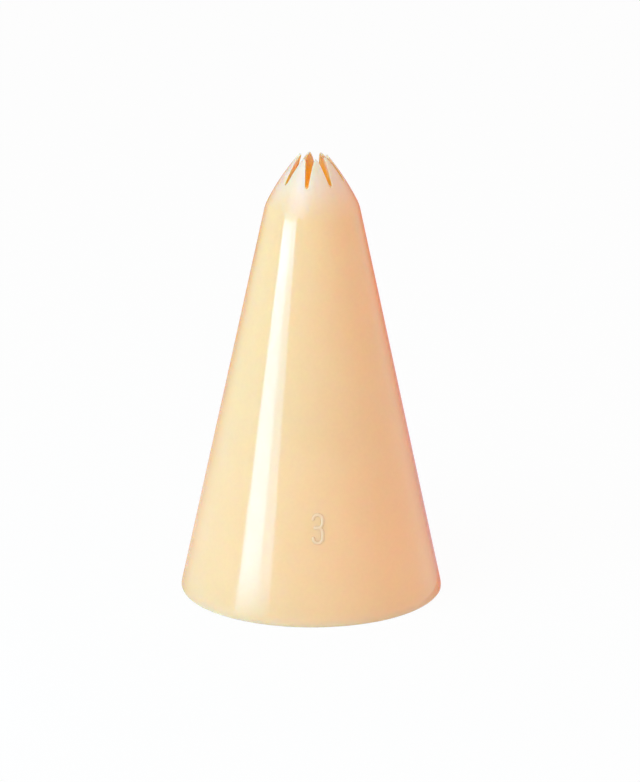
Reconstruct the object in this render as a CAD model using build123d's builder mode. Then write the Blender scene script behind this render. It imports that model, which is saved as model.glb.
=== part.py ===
from build123d import *
from math import asin, atan2, cos, pi, sin
import os

# Piping nozzle: a hollow plastic cone that ends in a star of teeth, standing on its
# wide base. Millimetres, +Z up, with the origin at the centre of the base rim. The
# front of the nozzle, which carries the size numeral, faces -Y.

# Outer form
height = 51.0
base_diameter = 30.0
tip_length = 5.8
shoulder_diameter = 10.7
tip_diameter = 3.5
tip_cone_bulge = 0.19
shoulder_round = 4.4
base_edge_round = 0.25

# Inside
opening_diameter = 3.0
base_wall = 1.2
shoulder_wall = 0.9
inner_shoulder_round = 3.0
inner_base_edge_round = 0.2

# Star of teeth
tooth_count = 8
slot_depth = 2.9
slot_root_width = 0.36
tooth_top_width = 0.18
slot_flare_height = 0.58
slot_waist_share = 0.71
star_turn = -13.8

# Size numeral
numeral_height = 3.5
numeral_width = 1.42
numeral_stroke = 0.36
numeral_relief = 0.22
numeral_centre_height = 11.0
upper_bowl_share = 0.465
middle_bar_share = 0.22

# Every cutting body runs past what it cuts by this much
overrun = 1.0

# The cone's wall, seen from the side
shoulder_height = height - tip_length
base_radius = base_diameter / 2
shoulder_radius = shoulder_diameter / 2
tip_radius = tip_diameter / 2
opening_radius = opening_diameter / 2
slant = cos(atan2(base_radius - shoulder_radius, shoulder_height))
inner_base_radius = base_radius - base_wall / slant
inner_shoulder_radius = shoulder_radius - shoulder_wall / slant

# Slot that parts two teeth, drawn from the front and cut from the axis outwards
tooth_top_angle = 2 * asin(tooth_top_width / tip_diameter)
slot_mouth = tip_diameter * sin((2 * pi / tooth_count - tooth_top_angle) / 2)
slot_waist = slot_mouth * slot_waist_share
slot_root = height - slot_depth
slot_waist_height = height - slot_flare_height
slot_root_radius = slot_root_width / 2

with BuildPart() as slot_cutter:
    with BuildSketch(Plane.XZ):
        with BuildLine():
            root = ThreePointArc(
                (-slot_root_radius, slot_root + slot_root_radius),
                (0, slot_root),
                (slot_root_radius, slot_root + slot_root_radius),
            )
            right_flank = Line(root @ 1, (slot_waist / 2, slot_waist_height))
            right_flare = TangentArc(right_flank @ 1, (slot_mouth / 2, height), tangent=right_flank % 1)
            left_flank = Line(root @ 0, (-slot_waist / 2, slot_waist_height))
            left_flare = TangentArc(left_flank @ 1, (-slot_mouth / 2, height), tangent=left_flank % 1)
            Polyline(
                right_flare @ 1,
                (slot_mouth / 2, height + overrun),
                (-slot_mouth / 2, height + overrun),
                left_flare @ 1,
            )
        make_face()
    extrude(amount=shoulder_diameter)

# Cone and star tip, one moulding
with BuildPart() as nozzle_body:
    with BuildSketch(Plane.XZ) as wall_section:
        with BuildLine():
            Polyline((inner_base_radius, 0), (base_radius, 0), (shoulder_radius, shoulder_height))
            SagittaArc((shoulder_radius, shoulder_height), (tip_radius, height), -tip_cone_bulge)
            Polyline(
                (tip_radius, height),
                (opening_radius, height),
                (inner_shoulder_radius, shoulder_height),
                (inner_base_radius, 0),
            )
        make_face()
        for corner, corner_round in (
            ((inner_base_radius, 0), inner_base_edge_round),
            ((base_radius, 0), base_edge_round),
            ((shoulder_radius, shoulder_height), shoulder_round),
            ((inner_shoulder_radius, shoulder_height), inner_shoulder_round),
        ):
            fillet(wall_section.vertices().sort_by_distance(corner)[0], radius=corner_round)
    revolve(axis=Axis.Z)
    with PolarLocations(0, tooth_count, start_angle=star_turn):
        add(slot_cutter.part, mode=Mode.SUBTRACT)
nozzle_body.part.label = "nozzle_body"

# Centre lines of the numeral's two bowls, measured from where they meet
bowl_radius = (numeral_width - numeral_stroke) / 2
line_height = numeral_height - numeral_stroke
upper_bowl = line_height * upper_bowl_share
lower_bowl = line_height - upper_bowl
middle_bar = numeral_width * middle_bar_share
numeral_middle = numeral_centre_height - line_height / 2 + lower_bowl
relief_reach = numeral_relief / slant

# Size numeral, raised on the front of the cone and following its curve
with BuildPart() as size_numeral:
    with BuildSketch(Plane(origin=(0, 0, numeral_middle), x_dir=(1, 0, 0), z_dir=(0, -1, 0))):
        for side, reach in ((1, upper_bowl), (-1, lower_bowl)):
            round_height = side * (reach - bowl_radius)
            with BuildLine(mode=Mode.PRIVATE) as bowl:
                crown = ThreePointArc(
                    (-bowl_radius, round_height),
                    (0, side * reach),
                    (bowl_radius, round_height),
                )
                flank = Line(crown @ 1, (bowl_radius, side * bowl_radius))
                corner = TangentArc(flank @ 1, (0, 0), tangent=flank % 1)
                Line(corner @ 1, (-middle_bar, 0))
            SlotArc(bowl.wire(), numeral_stroke)
    extrude(amount=base_diameter)
    with BuildSketch(Plane.XZ):
        with BuildLine():
            Polyline(
                (base_radius, 0),
                (base_radius + relief_reach, 0),
                (shoulder_radius + relief_reach, shoulder_height),
                (shoulder_radius, shoulder_height),
                close=True,
            )
        make_face()
    revolve(axis=Axis.Z, mode=Mode.INTERSECT)
size_numeral.part.label = "size_numeral"

os.makedirs("parts", exist_ok=True)
export_step(nozzle_body.part, "parts/nozzle_body.step")
export_step(size_numeral.part, "parts/size_numeral.step")
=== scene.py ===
import math

import bmesh
import bpy
import numpy as np
from mathutils import Matrix, Vector


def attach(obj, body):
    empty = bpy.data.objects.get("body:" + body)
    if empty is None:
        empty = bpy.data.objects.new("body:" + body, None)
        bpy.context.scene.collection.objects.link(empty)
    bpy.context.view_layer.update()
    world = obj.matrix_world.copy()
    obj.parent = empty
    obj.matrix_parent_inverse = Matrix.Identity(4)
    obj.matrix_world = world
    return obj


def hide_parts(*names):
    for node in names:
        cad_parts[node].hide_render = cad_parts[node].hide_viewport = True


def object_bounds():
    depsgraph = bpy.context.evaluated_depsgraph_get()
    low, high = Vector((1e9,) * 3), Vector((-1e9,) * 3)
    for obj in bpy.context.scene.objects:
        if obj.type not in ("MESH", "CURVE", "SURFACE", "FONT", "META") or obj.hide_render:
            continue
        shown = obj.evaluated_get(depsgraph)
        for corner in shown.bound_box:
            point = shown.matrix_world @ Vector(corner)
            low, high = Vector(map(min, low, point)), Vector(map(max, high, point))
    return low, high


# Piping nozzle: an ivory plastic cone with a star of teeth at its tip, standing on its
# wide base. Lengths are in metres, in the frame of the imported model, which stands on
# z = 0 with its front, and the raised size numeral, facing -Y. Angles round the axis
# are measured from the front towards +X.

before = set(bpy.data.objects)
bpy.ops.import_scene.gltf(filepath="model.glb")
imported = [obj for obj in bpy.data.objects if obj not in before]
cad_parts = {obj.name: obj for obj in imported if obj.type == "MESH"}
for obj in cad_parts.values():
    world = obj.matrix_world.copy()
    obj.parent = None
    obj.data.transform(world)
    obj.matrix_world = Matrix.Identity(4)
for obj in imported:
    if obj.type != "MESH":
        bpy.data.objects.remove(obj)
cad_low, cad_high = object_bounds()

MM = 0.001

# Camera, fitted to the outline in the photograph. Its angles are in degrees, and the aim
# is the point on the axis that is seen at the aim pixel.
IMAGE_WIDTH, IMAGE_HEIGHT = 640, 782
CAMERA_DISTANCE = 700 * MM
CAMERA_AZIMUTH = -3.44
CAMERA_ELEVATION = 17.28
CAMERA_ROLL = 0.19
PIXELS_PER_METRE = 8.801 / MM
AIM_HEIGHT = 25 * MM
AIM_PIXEL_X, AIM_PIXEL_Y = 311.88, 376.72
SENSOR_WIDTH = 36.0

# Outer form of the moulding
HEIGHT = cad_high.z
BASE_RADIUS = 15.0 * MM
BASE_ROUND = 0.25 * MM
SHOULDER_RADIUS = 5.35 * MM
SHOULDER_HEIGHT = HEIGHT - 5.8 * MM
SHOULDER_BLEND = 0.49 * MM
TIP_RADIUS = 1.75 * MM
TIP_BULGE = 0.19 * MM

# Inside
BASE_WALL = 1.2 * MM
SHOULDER_WALL = 0.9 * MM
INNER_BASE_ROUND = 0.2 * MM
INNER_SHOULDER_BLEND = 0.4 * MM
OPENING_RADIUS = 1.5 * MM

# Star of teeth; the slots' waist and mouth are half widths
TOOTH_COUNT = 8
STAR_TURN = math.radians(-13.8)
SLOT_DEPTH = 2.9 * MM
SLOT_ROOT_RADIUS = 0.18 * MM
SLOT_FLARE_HEIGHT = 0.58 * MM
SLOT_WAIST = 0.416 * MM
SLOT_MOUTH = 0.586 * MM

# Raised numeral. The powers shape the dome across a stroke, and the point counts are those
# of a bowl's crown, flank, corner and bar.
NUMERAL_CENTRE_HEIGHT = 11.0 * MM
NUMERAL_HEIGHT = 3.5 * MM
NUMERAL_WIDTH = 1.42 * MM
NUMERAL_STROKE = 0.36 * MM
NUMERAL_RELIEF = 0.085 * MM
NUMERAL_SINK = 0.03 * MM
NUMERAL_STEP = 0.04 * MM
UPPER_BOWL_SHARE = 0.465
MIDDLE_BAR_SHARE = 0.22
DOME_POWERS = (2.5, 0.8)
BOWL_POINTS = (120, 60, 80, 30)

# Slow waves of the moulded surface: ripples round the axis, radians per mm up it, start, size
WAVE_DEPTH = 0.03 * MM
WAVES = (
    (2, 0.11, 0.3, 6.0), (3, -0.17, 1.9, 4.0), (5, 0.29, 4.1, 2.6), (7, -0.41, 0.7, 1.8),
    (9, 0.23, 2.6, 1.3), (13, 0.57, 5.2, 0.9), (0, 0.36, 1.1, 2.2), (0, 0.83, 3.3, 0.8),
)
WAVE_SUM = sum(size for *_, size in WAVES)

# Plastic: base colours (linear), and how far red, green and blue light scatter in it, in mm
IVORY = (0.90, 0.61, 0.322)
NUMERAL_IVORY = (0.94, 0.60, 0.35)
SCATTER_REACH = (1.2, 0.8, 0.35)
GLOSS_IOR = 1.5

# Painted light on the moulding, as colours that take over between two heights. On the outside
# there is a redder bottom edge, which is painted warm glow of the light that the wall scatters at
# its foot, and a paler tip, which is painted sheen. On all other surfaces, higher up, there is
# painted golden glow of light through the translucent wall in the slots, and it turns rosy at the
# top. A surface is outside if its tangent plane passes the origin at more than a distance.
RIM_PAINTED_GLOW = (1.0, 0.60, 0.37)
RIM_GLOW_FADE = (0.0, 1.6 * MM)
TIP_PAINTED_SHEEN = (0.91, 0.68, 0.53)
TIP_SHEEN_FADE = (44.3 * MM, 50.0 * MM)
SLOT_PAINTED_GLOW = (0.87, 0.53, 0.12)
SLOT_GLOW_FADE = (45.5 * MM, 47.5 * MM)
SLOT_TOP_PAINTED_GLOW = (0.89, 0.50, 0.36)
SLOT_TOP_GLOW_FADE = (48.5 * MM, 50.4 * MM)
OUTSIDE_DISTANCE = 11 * MM

# Fine texture of the plastic. Each noise has a scale and a detail.
CLOUDS = (120, 3)
SPECKS = (2600, 0)
SPECK_LEVELS = (0.3, 0.7)
SPECK_SHIFT = 0.09
MOTTLING = (0.965, 1.035)
GLOSS_CLOUDS = (300, 2)
ROUGHNESS = (0.07, 0.11)
ORANGE_PEEL = (1800, 3)
PEEL_STRENGTH = 0.15
PEEL_DEPTH = 0.02 * MM

# White surroundings: how bright they are as a light, and the floor, whose white part hides
# all but a little of the shadow
WHITE = (1.0, 1.0, 1.0)
WORLD_LEVEL = 0.627
FLOOR_REACH = 2.0
FLOOR_DROP = 0.02 * MM
FLOOR_COLOUR = (0.95, 0.88, 0.84)
FLOOR_WHITE_SHARE = 0.95

# Lamps: name, azimuth from the camera and elevation in degrees, distance, height of the
# point that they face, roll, size, power in watts, colour, and whether gloss mirrors them
# and whether they light what is not gloss
COOL = (0.42, 0.86, 1.0)
SHEEN = (0.35, 0.5, 1.0)
PALE = (0.2, 0.48, 1.0)
STRIP = (0.24, 0.62, 1.0)
FILL = (1.0, 0.12, 0.02)
LAMPS = (
    ("key_core", -58, 0, 250 * MM, 39 * MM, 6.8, (84 * MM, 55 * MM), 0.076, STRIP, True, True),
    ("key_edge", -53.5, 0, 256 * MM, 43 * MM, 6.8, (145 * MM, 66 * MM), 0.155, STRIP, True, True),
    ("key_top", -54, 0, 262 * MM, 106 * MM, 6.8, (150 * MM, 88 * MM), 0.158, STRIP, True, False),
    ("soft_key", -40, 38, 500 * MM, 25 * MM, 0, (420 * MM, 300 * MM), 1.3, COOL, False, True),
    ("sheen_wide", -44, 38, 506 * MM, 25 * MM, 0, (570 * MM, 380 * MM), 0.65, SHEEN, True, False),
    ("sheen_middle", -44, 38, 504 * MM, 25 * MM, 0, (450 * MM, 320 * MM), 0.43, SHEEN, True, False),
    ("sheen_core", -44, 38, 502 * MM, 25 * MM, 0, (330 * MM, 260 * MM), 0.27, SHEEN, True, False),
    ("sheen_heart", -44, 38, 500 * MM, 25 * MM, 0, (210 * MM, 200 * MM), 0.13, SHEEN, True, False),
    ("low_key", -62, 2, 60 * MM, 2 * MM, 0, (50 * MM, 5 * MM), 0.003, PALE, False, True),
    ("fill", 85, 10, 400 * MM, 25 * MM, 0, (300 * MM, 300 * MM), 0.185, FILL, False, True),
)

# Light that has come through the translucent wall into the hollow, as small warm lamps on
# the axis: height, radius, power in watts, colour
WARM = (0.79, 1.0, 0.26)
AMBER = (1.0, 0.55, 0.03)
ORANGE = (1.0, 0.63, 0.03)
GLOW = (
    (2.5 * MM, 2 * MM, 0.00082, AMBER),
    (9 * MM, 4 * MM, 0.0021, WARM),
    (33 * MM, 2.5 * MM, 0.00076, WARM),
    (43 * MM, 1.5 * MM, 0.00023, ORANGE),
)

# Cards behind the nozzle and rings round its foot, for the gloss along its edges to mirror:
# name, azimuths from the camera in degrees, profile as radius and height, the depths where
# they are white and where they are fully coloured, and colours at the floor and higher up.
# The depth is measured along Y, less a share of the height, and the heights are those
# between which one colour turns into the other.
CARD_STEPS = 25
CARD_RISE = 0.18
CARD_BLEND = (5 * MM, 40 * MM)
WALL_CARD = ((18 * MM, 0.0), (18 * MM, 60 * MM))
RING_CARD = ((15.1 * MM, 0.0), (18 * MM, 0.0))
ROSE = (0.66, 0.31, 0.42)
RED = (0.80, 0.16, 0.16)
PEACH = (0.86, 0.56, 0.46)
BRICK = (0.74, 0.25, 0.12)
CORAL = (0.76, 0.22, 0.20)
SAND = (0.80, 0.52, 0.36)
CARDS = (
    ("right_card", (55, 180), WALL_CARD, (-4 * MM, 4.5 * MM), ROSE, RED),
    ("left_card", (-180, -84), WALL_CARD, (-2 * MM, 5 * MM), PEACH, BRICK),
    ("right_ring", (40, 180), RING_CARD, (-11 * MM, -2 * MM), CORAL, CORAL),
    ("left_ring", (-180, -40), RING_CARD, (-11 * MM, -2 * MM), SAND, SAND),
)

# Grid of the moulding's mesh: columns across a tooth and its slot, points inside the wall,
# and rows from the rim up to the top of the teeth
COLUMN_SHARES = (0.0, 0.05, 0.14, 0.26, 0.38, 0.5, 0.62, 0.74, 0.86, 0.95)
WALL_SHARES = (0.14, 0.5, 0.86)
RIM_ROWS = 5
CONE_ROWS = 22
INNER_CONE_ROWS = 12
SHOULDER_ROWS = 5
TIP_ROWS = 4
ROOT_TURNS = (30, 60, 90)
TOOTH_SHARES = (0.12, 0.26, 0.4, 0.54, 0.67, 0.78, 0.87, 0.935, 0.98, 1.0)
SUBDIVISIONS = 2

SLOPE = (BASE_RADIUS - SHOULDER_RADIUS) / SHOULDER_HEIGHT
LEAN = math.atan(SLOPE)
INNER_BASE_RADIUS = BASE_RADIUS - BASE_WALL / math.cos(LEAN)
INNER_SHOULDER_RADIUS = SHOULDER_RADIUS - SHOULDER_WALL / math.cos(LEAN)
INNER_SLOPE = (INNER_BASE_RADIUS - INNER_SHOULDER_RADIUS) / SHOULDER_HEIGHT
TIP_LENGTH = HEIGHT - SHOULDER_HEIGHT
SLOT_ROOT = HEIGHT - SLOT_DEPTH
TOOTH_PITCH = 2 * math.pi / TOOTH_COUNT


def rounded_corner(height, reach, slope_change):
    """How far the round shoulder pulls the outline in from its sharp corner."""
    near = max(0.0, reach - abs(height - SHOULDER_HEIGHT))
    return slope_change * near ** 2 / (4 * reach)


def outer_radius(height):
    """The cone, then the bulged tip cone, with a round shoulder between them."""
    drop = SHOULDER_RADIUS - TIP_RADIUS
    bulge = 4 * TIP_BULGE * math.hypot(drop, TIP_LENGTH) / TIP_LENGTH
    tip_slope = (drop - bulge) / TIP_LENGTH
    if height < SHOULDER_HEIGHT:
        radius = BASE_RADIUS - SLOPE * height
    else:
        along = (height - SHOULDER_HEIGHT) / TIP_LENGTH
        radius = SHOULDER_RADIUS - drop * along + bulge * along * (1 - along)
    return radius - rounded_corner(height, SHOULDER_BLEND, tip_slope - SLOPE)


def inner_radius(height):
    """The inside, from the base up to the star opening."""
    tip_slope = (INNER_SHOULDER_RADIUS - OPENING_RADIUS) / TIP_LENGTH
    if height < SHOULDER_HEIGHT:
        radius = INNER_BASE_RADIUS - INNER_SLOPE * height
    else:
        radius = OPENING_RADIUS + tip_slope * (HEIGHT - height)
    return radius - rounded_corner(height, INNER_SHOULDER_BLEND, tip_slope - INNER_SLOPE)


def slot_half_width(height):
    """Half the width of a slot at a height: round root, straight flanks, flared mouth."""
    above = height - SLOT_ROOT
    below_centre = max(0.0, SLOT_ROOT_RADIUS - above)
    root = math.sqrt(SLOT_ROOT_RADIUS ** 2 - below_centre ** 2)
    flank_length = SLOT_DEPTH - SLOT_ROOT_RADIUS - SLOT_FLARE_HEIGHT
    flank_slope = (SLOT_WAIST - SLOT_ROOT_RADIUS) / flank_length
    flank = flank_slope * max(0.0, above - SLOT_ROOT_RADIUS)
    flare_rise = SLOT_MOUTH - SLOT_WAIST - flank_slope * SLOT_FLARE_HEIGHT
    flare_share = max(0.0, above - SLOT_DEPTH + SLOT_FLARE_HEIGHT) / SLOT_FLARE_HEIGHT
    return root + flank + flare_rise * flare_share ** 2


def unevenness(angle, height):
    """How far the moulded surface sinks in at a place."""
    total = sum(
        size * math.sin(count * angle + rate * height / MM + start)
        for count, rate, start, size in WAVES
    )
    return WAVE_DEPTH * (1 - total / WAVE_SUM) / 2


def place(angle, radius, height):
    """A point of the moulding, sunk by its unevenness."""
    radius = radius - unevenness(angle, height)
    return (radius * math.sin(angle), -radius * math.cos(angle), height)


def rim_round(radius, round_radius, slope, side):
    """Points of a rounded rim corner, as radius and height, from the flat rim up. The side
    is 1 for the outer corner and -1 for the inner one."""
    lean = math.atan(slope)
    centre = radius - side * round_radius * (1 + side * math.sin(lean)) / math.cos(lean)
    return [
        (centre + side * round_radius * math.cos(turn), round_radius * (1 + math.sin(turn)))
        for turn in np.linspace(-math.pi / 2, side * lean, RIM_ROWS)
    ]


def rings(rim, radius_at, cone_rows):
    """Rings of the outer or inner surface, as radius and height, from its rim up to the
    bottom of the slots."""
    low = SHOULDER_HEIGHT - SHOULDER_BLEND
    high = SHOULDER_HEIGHT + SHOULDER_BLEND
    heights = np.concatenate([
        np.linspace(rim[-1][1], low - SHOULDER_BLEND, cone_rows)[1:],
        np.linspace(low, high, SHOULDER_ROWS),
        np.linspace(high + SHOULDER_BLEND, SLOT_ROOT - SLOT_ROOT_RADIUS, TIP_ROWS),
        [SLOT_ROOT],
    ])
    return rim + [(radius_at(height), height) for height in heights]


def tooth_heights():
    """Heights of the rows beside the slots, above the root, close together at root and top."""
    reach = SLOT_DEPTH - SLOT_ROOT_RADIUS
    root = [SLOT_ROOT_RADIUS * (1 - math.cos(math.radians(turn))) for turn in ROOT_TURNS]
    flanks = [SLOT_ROOT_RADIUS + reach * share for share in TOOTH_SHARES]
    return [SLOT_ROOT + rise for rise in root + flanks]


def add_object(name, data):
    """An object in the scene."""
    made = bpy.data.objects.new(name, data)
    bpy.context.scene.collection.objects.link(made)
    return made


def add_mesh(name, points, faces):
    """A smooth-shaded mesh object."""
    mesh = bpy.data.meshes.new(name)
    mesh.from_pydata(points, [], faces)
    mesh.validate()
    mesh.shade_smooth()
    return add_object(name, mesh)


def turn_faces_out(made):
    """Makes the faces of a closed mesh agree and point outwards."""
    work = bmesh.new()
    work.from_mesh(made.data)
    bmesh.ops.recalc_face_normals(work, faces=work.faces)
    work.to_mesh(made.data)
    work.free()


def nozzle_moulding():
    """The hollow cone and its teeth as one closed mesh of quads."""
    points, faces = [], []

    def add(angle, radius, height):
        points.append(place(angle, radius, height))
        return len(points) - 1

    def join(below, above):
        faces.extend(zip(below, below[1:], above[1:], above))

    def across_wall(outer_end, inner_end, angle, side, height, half_width):
        """A row from an outer point to an inner one, beside the slot that is at an angle."""
        outer, inner = (
            math.sqrt(radius_at(height) ** 2 - half_width ** 2)
            for radius_at in (outer_radius, inner_radius)
        )
        row = [outer_end]
        for share in WALL_SHARES:
            reach = outer * (1 - share) + inner * share
            turn = side * math.atan(half_width / reach)
            row.append(add(angle + turn, math.hypot(reach, half_width), height))
        return row + [inner_end]

    slot_angles = [STAR_TURN + TOOTH_PITCH * tooth for tooth in range(TOOTH_COUNT)]
    turns = [angle + TOOTH_PITCH * share for angle in slot_angles for share in COLUMN_SHARES]
    outer_rim = rim_round(BASE_RADIUS, BASE_ROUND, SLOPE, 1)
    inner_rim = rim_round(INNER_BASE_RADIUS, INNER_BASE_ROUND, INNER_SLOPE, -1)
    outside, inside = (
        [[add(turn, *ring) for turn in turns] for ring in chain]
        for chain in (
            rings(outer_rim, outer_radius, CONE_ROWS),
            rings(inner_rim, inner_radius, INNER_CONE_ROWS)[::-1],
        )
    )
    for chain in (outside, inside, [inside[-1], outside[0]]):
        for lower, upper in zip(chain, chain[1:]):
            join(lower + lower[:1], upper + upper[:1])

    # Bottom of each slot, a row across the wall that both of its flanks share
    columns = len(COLUMN_SHARES)
    roots = [
        across_wall(outside[-1][i * columns], inside[0][i * columns], angle, 0, SLOT_ROOT, 0.0)
        for i, angle in enumerate(slot_angles)
    ]

    for tooth, angle in enumerate(slot_angles):
        around = [(tooth * columns + i) % len(turns) for i in range(columns + 1)]
        below = [
            [outside[-1][i] for i in around],
            [inside[0][i] for i in around],
            roots[tooth],
            roots[(tooth + 1) % TOOTH_COUNT],
        ]
        for height in tooth_heights():
            half_width = slot_half_width(height)
            rows = []
            for radius in (outer_radius(height), inner_radius(height)):
                edge = math.asin(half_width / radius)
                rows.append([
                    add(angle + edge + (TOOTH_PITCH - 2 * edge) * share, radius, height)
                    for share in (*COLUMN_SHARES, 1.0)
                ])
            outer, inner = rows
            next_angle = angle + TOOTH_PITCH
            rows.append(across_wall(outer[0], inner[0], angle, 1, height, half_width))
            rows.append(across_wall(outer[-1], inner[-1], next_angle, -1, height, half_width))
            for lower, upper in zip(below, rows):
                join(lower, upper)
            below = rows

        # Top of the tooth
        outer, inner, first_flank, last_flank = below
        grid = [first_flank]
        for start, end in zip(outer[1:-1], inner[1:-1]):
            a, b = np.array(points[start]), np.array(points[end])
            middle = range(len(points), len(points) + len(WALL_SHARES))
            points += [tuple(a * (1 - share) + b * share) for share in WALL_SHARES]
            grid.append([start, *middle, end])
        grid.append(last_flank)
        for one, other in zip(grid, grid[1:]):
            faces.extend(zip(one, other, other[1:], one[1:]))

    made = add_mesh("star_nozzle_moulding", points, faces)
    turn_faces_out(made)
    fine = made.modifiers.new("fine", "SUBSURF")
    fine.levels = SUBDIVISIONS
    fine.render_levels = SUBDIVISIONS
    return made


def bowl_lines():
    """Centre lines of the numeral's two bowls, as close points with x and the height above
    where the bowls meet, and the height of that place."""
    radius = (NUMERAL_WIDTH - NUMERAL_STROKE) / 2
    line_height = NUMERAL_HEIGHT - NUMERAL_STROKE
    upper = line_height * UPPER_BOWL_SHARE
    lower = line_height - upper
    bar = NUMERAL_WIDTH * MIDDLE_BAR_SHARE
    crown_points, flank_points, corner_points, bar_points = BOWL_POINTS
    lines = []
    for side, reach in ((1, upper), (-1, lower)):
        crown = [
            (radius * math.cos(turn), reach - radius + radius * math.sin(turn))
            for turn in np.linspace(math.pi, 0, crown_points)
        ]
        flank = [(radius, rise) for rise in np.linspace(reach - radius, radius, flank_points)]
        corner = [
            (radius * math.cos(turn), radius + radius * math.sin(turn))
            for turn in np.linspace(0, -math.pi / 2, corner_points)
        ]
        middle = [(x, 0.0) for x in np.linspace(0, -bar, bar_points)]
        lines += [(x, side * rise) for x, rise in crown + flank + corner + middle]
    return np.array(lines), NUMERAL_CENTRE_HEIGHT - line_height / 2 + lower


def numeral_relief():
    """The raised numeral: a fine grid over its strokes, domed across each stroke."""
    line, meeting_height = bowl_lines()
    half_stroke = NUMERAL_STROKE / 2
    low = line.min(0) - NUMERAL_STROKE
    high = line.max(0) + NUMERAL_STROKE
    across = np.arange(low[0], high[0], NUMERAL_STEP)
    upward = np.arange(low[1], high[1], NUMERAL_STEP)

    # Grid points on the strokes, those near an edge moved onto it, and their share of the
    # way from the centre line to the edge
    spots = {}
    for i, x in enumerate(across):
        for j, rise in enumerate(upward):
            here = np.array((x, rise))
            gaps = np.hypot(*(line - here).T)
            nearest, gap = line[gaps.argmin()], gaps.min()
            if abs(gap - half_stroke) < NUMERAL_STEP / 2:
                here = nearest + (here - nearest) * half_stroke / gap
                gap = half_stroke
            if gap <= half_stroke:
                spots[i, j] = (*here, gap / half_stroke)

    def lifted(x, rise, lift):
        """A point straight out from the cone by a lift."""
        height = rise + meeting_height
        radius = outer_radius(height)
        angle = math.asin(x / radius)
        outward = Vector((
            math.sin(angle) * math.cos(LEAN),
            -math.cos(angle) * math.cos(LEAN),
            math.sin(LEAN),
        ))
        return tuple(Vector(place(angle, radius, height)) + outward * lift)

    flatness, softness = DOME_POWERS
    points = [
        lifted(x, rise, NUMERAL_RELIEF * (1 - share ** flatness) ** softness)
        for x, rise, share in spots.values()
    ]
    points += [lifted(x, rise, -NUMERAL_SINK) for x, rise, share in spots.values()]

    index = {spot: number for number, spot in enumerate(spots)}
    tops = []
    for i in range(len(across)):
        for j in range(len(upward)):
            cell = ((i, j), (i + 1, j), (i + 1, j + 1), (i, j + 1))
            corners = tuple(index[spot] for spot in cell if spot in index)
            if len(corners) >= 3:
                tops.append(corners)
    count = len(index)
    bottoms = [tuple(corner + count for corner in reversed(face)) for face in tops]
    edges = [pair for face in tops for pair in zip(face, face[1:] + face[:1])]
    known = set(edges)
    walls = [(b, a, a + count, b + count) for a, b in edges if (b, a) not in known]
    made = add_mesh("raised_size_numeral", points, tops + bottoms + walls)
    turn_faces_out(made)
    return made


def facing(azimuth, elevation, roll):
    """The direction towards a camera or lamp, and the turn that makes it face back. All
    three angles are in degrees."""
    angle, rise = math.radians(azimuth), math.radians(elevation)
    back = Vector((
        math.sin(angle) * math.cos(rise),
        -math.cos(angle) * math.cos(rise),
        math.sin(rise),
    ))
    rolled = Matrix.Rotation(math.radians(roll), 3, "Z")
    return back, back.to_track_quat("Z", "Y").to_matrix() @ rolled


def add_camera():
    """The photograph's camera, with the aim point at its pixel."""
    back, turn = facing(CAMERA_AZIMUTH, CAMERA_ELEVATION, CAMERA_ROLL)
    shift_right = (AIM_PIXEL_X - IMAGE_WIDTH / 2) / PIXELS_PER_METRE
    shift_up = (IMAGE_HEIGHT / 2 - AIM_PIXEL_Y) / PIXELS_PER_METRE
    aim = Vector((0, 0, AIM_HEIGHT)) - turn.col[0] * shift_right - turn.col[1] * shift_up
    data = bpy.data.cameras.new("camera")
    data.sensor_width = SENSOR_WIDTH
    data.lens = PIXELS_PER_METRE * CAMERA_DISTANCE * SENSOR_WIDTH / IMAGE_HEIGHT
    made = add_object("camera", data)
    made.matrix_world = Matrix.Translation(aim + back * CAMERA_DISTANCE) @ turn.to_4x4()
    bpy.context.scene.camera = made


def add_lamp(
    name, azimuth, elevation, distance, height, roll, size, power, colour, mirrored, lights
):
    """A soft rectangular lamp that faces a height on the axis."""
    data = bpy.data.lights.new(name, "AREA")
    data.shape = "RECTANGLE"
    data.size, data.size_y = size
    data.energy = power
    data.color = colour
    made = add_object(name, data)
    back, turn = facing(azimuth + CAMERA_AZIMUTH, elevation, roll)
    aim = Vector((0, 0, height))
    made.matrix_world = Matrix.Translation(aim + back * distance) @ turn.to_4x4()
    made.visible_camera = False
    made.visible_glossy = mirrored
    made.visible_diffuse = lights


def add_glow(height, radius, power, colour):
    """A small warm lamp on the nozzle's axis."""
    data = bpy.data.lights.new("glow", "POINT")
    data.energy = power
    data.color = colour
    data.shadow_soft_size = radius
    made = add_object("glow", data)
    made.location = (0, 0, height)
    made.visible_glossy = False


def emptied_tree(owner):
    """The node tree of a new material or world, without nodes."""
    owner.use_nodes = True
    owner.node_tree.nodes.clear()
    return owner.node_tree


def add_node(tree, kind, values=None, **settings):
    """The outputs of a new node. Its values, by the input's name or number, are numbers,
    colours or the outputs of other nodes."""
    node = tree.nodes.new(kind)
    for name, setting in settings.items():
        setattr(node, name, setting)
    for name, value in (values or {}).items():
        socket = node.inputs[name]
        if isinstance(value, bpy.types.NodeSocket):
            tree.links.new(value, socket)
        elif socket.type == "RGBA":
            socket.default_value = (*value, 1)
        else:
            socket.default_value = value
    return node.outputs


def mixed(tree, share, low, high):
    """A colour between two others."""
    values = {"Factor": share, "A": low, "B": high}
    return add_node(tree, "ShaderNodeMix", values, data_type="RGBA")["Result"]


def faded(tree, value, reach, low, high):
    """A colour that turns smoothly into another while a value crosses a reach."""
    values = {"Value": value, "From Min": reach[0], "From Max": reach[1]}
    share = add_node(tree, "ShaderNodeMapRange", values, interpolation_type="SMOOTHSTEP")["Result"]
    return mixed(tree, share, low, high)


def seen_directly(tree):
    """1 for camera, glossy and transmission rays, and 0 for the rest."""
    path = add_node(tree, "ShaderNodeLightPath")
    seen = path["Is Camera Ray"]
    for rays in (path["Is Glossy Ray"], path["Is Transmission Ray"]):
        seen = add_node(tree, "ShaderNodeMath", {0: seen, 1: rays}, operation="MAXIMUM")[0]
    return seen


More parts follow.
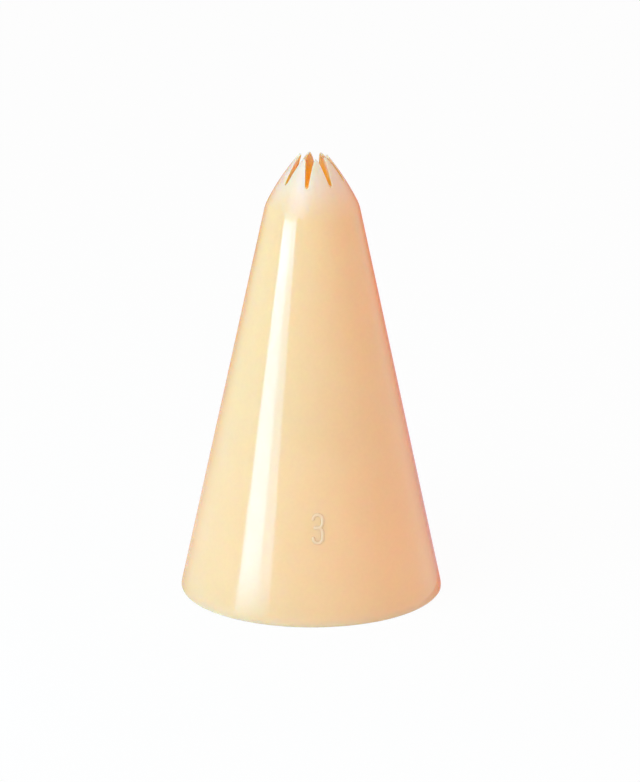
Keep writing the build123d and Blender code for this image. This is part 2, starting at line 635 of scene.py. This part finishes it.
def painted_light_by_place(tree, where, plain, rim, tip_sheen, slot_glow, slot_top_glow):
    """The moulding's colour with its painted light, by height and by whether a surface is outside:
    painted warm glow at the foot, painted sheen at the tip, and painted glow in the slots.
    """
    height = add_node(tree, "ShaderNodeSeparateXYZ", {0: where["Object"]})["Z"]
    above_rim = faded(tree, height, RIM_GLOW_FADE, rim, plain)
    outer = faded(tree, height, TIP_SHEEN_FADE, above_rim, tip_sheen)
    slots = faded(tree, height, SLOT_TOP_GLOW_FADE, slot_glow, slot_top_glow)
    other = faded(tree, height, SLOT_GLOW_FADE, plain, slots)
    sides = {0: where["Normal"], 1: where["Object"]}
    distance = add_node(tree, "ShaderNodeVectorMath", sides, operation="DOT_PRODUCT")["Value"]
    test = {0: distance, 1: OUTSIDE_DISTANCE}
    outside = add_node(tree, "ShaderNodeMath", test, operation="GREATER_THAN")[0]
    return mixed(tree, outside, other, outer)


def plastic(name, colour, scatter_weight, painted_light_tints=()):
    """Glossy plastic with faint mottling and orange peel, translucent by the scatter weight.
    The painted light tints are the colours by place: painted glow at the rim, painted sheen at the
    tip, and painted golden and then rosy glow in the slots."""
    material = bpy.data.materials.new(name)
    tree = emptied_tree(material)
    where = add_node(tree, "ShaderNodeTexCoord")

    def noise(scale, detail):
        values = {"Vector": where["Object"], "Scale": scale, "Detail": detail}
        return add_node(tree, "ShaderNodeTexNoise", values)["Fac"]

    specks = add_node(tree, "ShaderNodeMapRange", {
        "Value": noise(*SPECKS),
        "From Min": SPECK_LEVELS[0],
        "From Max": SPECK_LEVELS[1],
        "To Min": -SPECK_SHIFT,
        "To Max": SPECK_SHIFT,
    })["Result"]
    cloudy = add_node(tree, "ShaderNodeMath", {0: noise(*CLOUDS), 1: specks}, operation="ADD")[0]

    def mottled(base):
        dark, light = (tuple(min(1, c * share) for c in base) for share in MOTTLING)
        return mixed(tree, cloudy, dark, light)

    base = mottled(colour)
    if painted_light_tints:
        base = painted_light_by_place(tree, where, base, *map(mottled, painted_light_tints))
    roughness = add_node(tree, "ShaderNodeMapRange", {
        "Value": noise(*GLOSS_CLOUDS),
        "To Min": ROUGHNESS[0],
        "To Max": ROUGHNESS[1],
    })["Result"]
    normal = add_node(tree, "ShaderNodeBump", {
        "Strength": PEEL_STRENGTH,
        "Distance": PEEL_DEPTH,
        "Height": noise(*ORANGE_PEEL),
    })["Normal"]
    shader = add_node(tree, "ShaderNodeBsdfPrincipled", {
        "Base Color": base,
        "Roughness": roughness,
        "IOR": GLOSS_IOR,
        "Normal": normal,
        "Subsurface Weight": scatter_weight,
        "Subsurface Radius": SCATTER_REACH,
        "Subsurface Scale": MM,
    })["BSDF"]
    add_node(tree, "ShaderNodeOutputMaterial", {"Surface": shader})
    return material


def add_floor():
    """A floor that is white to look at, with a little of the shadow."""
    material = bpy.data.materials.new("floor")
    tree = emptied_tree(material)
    matte = add_node(tree, "ShaderNodeBsdfDiffuse", {"Color": FLOOR_COLOUR})[0]
    white = add_node(tree, "ShaderNodeEmission", {"Color": WHITE})[0]
    factors = {0: seen_directly(tree), 1: FLOOR_WHITE_SHARE}
    share = add_node(tree, "ShaderNodeMath", factors, operation="MULTIPLY")[0]
    surface = add_node(tree, "ShaderNodeMixShader", {0: share, 1: matte, 2: white})[0]
    add_node(tree, "ShaderNodeOutputMaterial", {"Surface": surface})
    corners = [
        (x * FLOOR_REACH, y * FLOOR_REACH, -FLOOR_DROP)
        for x, y in ((-1, -1), (1, -1), (1, 1), (-1, 1))
    ]
    floor = add_mesh("floor", corners, [(0, 1, 2, 3)])
    floor.data.materials.append(material)


def add_world():
    """White surroundings that light the nozzle less than they look."""
    world = bpy.data.worlds.new("world")
    bpy.context.scene.world = world
    tree = emptied_tree(world)
    light, backdrop = (
        add_node(tree, "ShaderNodeBackground", {"Color": WHITE, "Strength": level})[0]
        for level in (WORLD_LEVEL, 1.0)
    )
    parts = {0: seen_directly(tree), 1: light, 2: backdrop}
    surface = add_node(tree, "ShaderNodeMixShader", parts)[0]
    add_node(tree, "ShaderNodeOutputWorld", {"Surface": surface})


def add_card(name, azimuths, profile, fading, low_colour, high_colour):
    """A coloured card that only gloss can see."""
    material = bpy.data.materials.new(name)
    tree = emptied_tree(material)
    spot = add_node(tree, "ShaderNodeTexCoord")["Object"]
    where = add_node(tree, "ShaderNodeSeparateXYZ", {0: spot})
    leaning = {0: where["Z"], 1: -CARD_RISE, 2: where["Y"]}
    depth = add_node(tree, "ShaderNodeMath", leaning, operation="MULTIPLY_ADD")[0]
    tint = faded(tree, where["Z"], CARD_BLEND, low_colour, high_colour)
    colour = faded(tree, depth, fading, WHITE, tint)
    glow = add_node(tree, "ShaderNodeEmission", {"Color": colour})[0]
    add_node(tree, "ShaderNodeOutputMaterial", {"Surface": glow})
    turns = np.radians(np.linspace(*azimuths, CARD_STEPS) + CAMERA_AZIMUTH)
    points = [
        (radius * math.sin(turn), -radius * math.cos(turn), height)
        for turn in turns for radius, height in profile
    ]
    faces = [(i, i + 2, i + 3, i + 1) for i in range(0, len(points) - 2, 2)]
    card = add_mesh(name, points, faces)
    card.data.materials.append(material)
    card.visible_camera = False
    card.visible_diffuse = False
    card.visible_transmission = False
    card.visible_shadow = False


add_camera()
add_floor()
add_world()
for settings in LAMPS:
    add_lamp(*settings)
for settings in GLOW:
    add_glow(*settings)
for settings in CARDS:
    add_card(*settings)

body_piece = nozzle_moulding()
# Painted light on the moulding: painted warm glow at the foot, painted sheen at the tip, and
# painted glow in the slots
painted_light_tints = (RIM_PAINTED_GLOW, TIP_PAINTED_SHEEN, SLOT_PAINTED_GLOW, SLOT_TOP_PAINTED_GLOW)
body_piece.data.materials.append(plastic("ivory_plastic", IVORY, 1.0, painted_light_tints))
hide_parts("nozzle_body")
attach(body_piece, "root")

numeral_piece = numeral_relief()
numeral_piece.data.materials.append(plastic("ivory_plastic_mark", NUMERAL_IVORY, 0.0))
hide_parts("size_numeral")
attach(numeral_piece, "root")
numeral_piece.visible_shadow = False

bpy.context.scene.view_settings.view_transform = "Standard"
